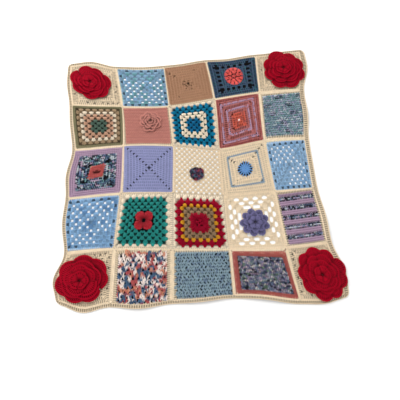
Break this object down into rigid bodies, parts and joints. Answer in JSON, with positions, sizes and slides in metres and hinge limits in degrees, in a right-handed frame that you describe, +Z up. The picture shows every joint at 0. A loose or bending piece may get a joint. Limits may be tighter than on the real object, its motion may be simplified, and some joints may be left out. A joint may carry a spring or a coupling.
{
  "type": "granny square blanket",
  "caption": "Crocheted blanket of mixed granny squares in a cream border, with raised yarn roses at its corners, laid flat.",
  "frame": {"origin": "middle of the blanket's footprint, on the surface it lies on", "axes": "+X to the right and +Y to the back as the blanket is seen from its front edge, +Z up out of the cloth"},
  "size_m": [0.9378, 0.9581, 0.0228],
  "materials": {
    "cream_yarn": "soft matte yarn",
    "sky_yarn": "soft matte yarn",
    "tan_yarn": "soft matte yarn",
    "slate_yarn": "soft matte yarn",
    "olive_yarn": "soft matte yarn",
    "pink_yarn": "soft matte yarn",
    "teal_yarn": "soft matte yarn",
    "brick_yarn": "soft matte yarn",
    "mottled_yarn": "soft matte yarn",
    "lilac_yarn": "soft matte yarn",
    "green_yarn": "soft matte yarn",
    "crimson_yarn": "soft matte yarn",
    "speckled_yarn": "soft matte yarn",
    "plum_yarn": "soft matte yarn",
    "violet_yarn": "soft matte yarn"
  },
  "bodies": {
    "root": {"border": "cream_yarn", "flower_pink": "pink_yarn", "flower_plum": "plum_yarn", "flower_violet": "violet_yarn", "rose_back_left": "crimson_yarn", "rose_back_right": "crimson_yarn", "rose_front_left": "crimson_yarn", "rose_front_right": "crimson_yarn", "square_11_rose_ground": "cream_yarn", "square_12_sky_granny": "sky_yarn", "square_13_tan_solid": "tan_yarn", "square_14_slate_coral": "slate_yarn", "square_15_rose_ground": "cream_yarn", "square_21_olive_granny": "olive_yarn", "square_22_pink_solid": "pink_yarn", "square_23_teal_granny": "teal_yarn", "square_24_brick_rounds": "brick_yarn", "square_25_slate_mottled": "mottled_yarn", "square_31_lilac_diamond": "lilac_yarn", "square_32_lilac_solid": "lilac_yarn", "square_33_cream_mesh": "cream_yarn", "square_34_cream_star": "cream_yarn", "square_35_sky_granny": "sky_yarn", "square_41_sky_granny": "sky_yarn", "square_42_green_granny": "green_yarn", "square_43_crimson_granny": "crimson_yarn", "square_44_cream_lace": "cream_yarn", "square_45_lilac_stripes": "lilac_yarn", "square_51_rose_ground": "cream_yarn", "square_52_speckled_granny": "speckled_yarn", "square_53_slate_moss": "slate_yarn", "square_54_mottled_framed": "mottled_yarn", "square_55_rose_ground": "cream_yarn"}
  },
  "joints": []
}
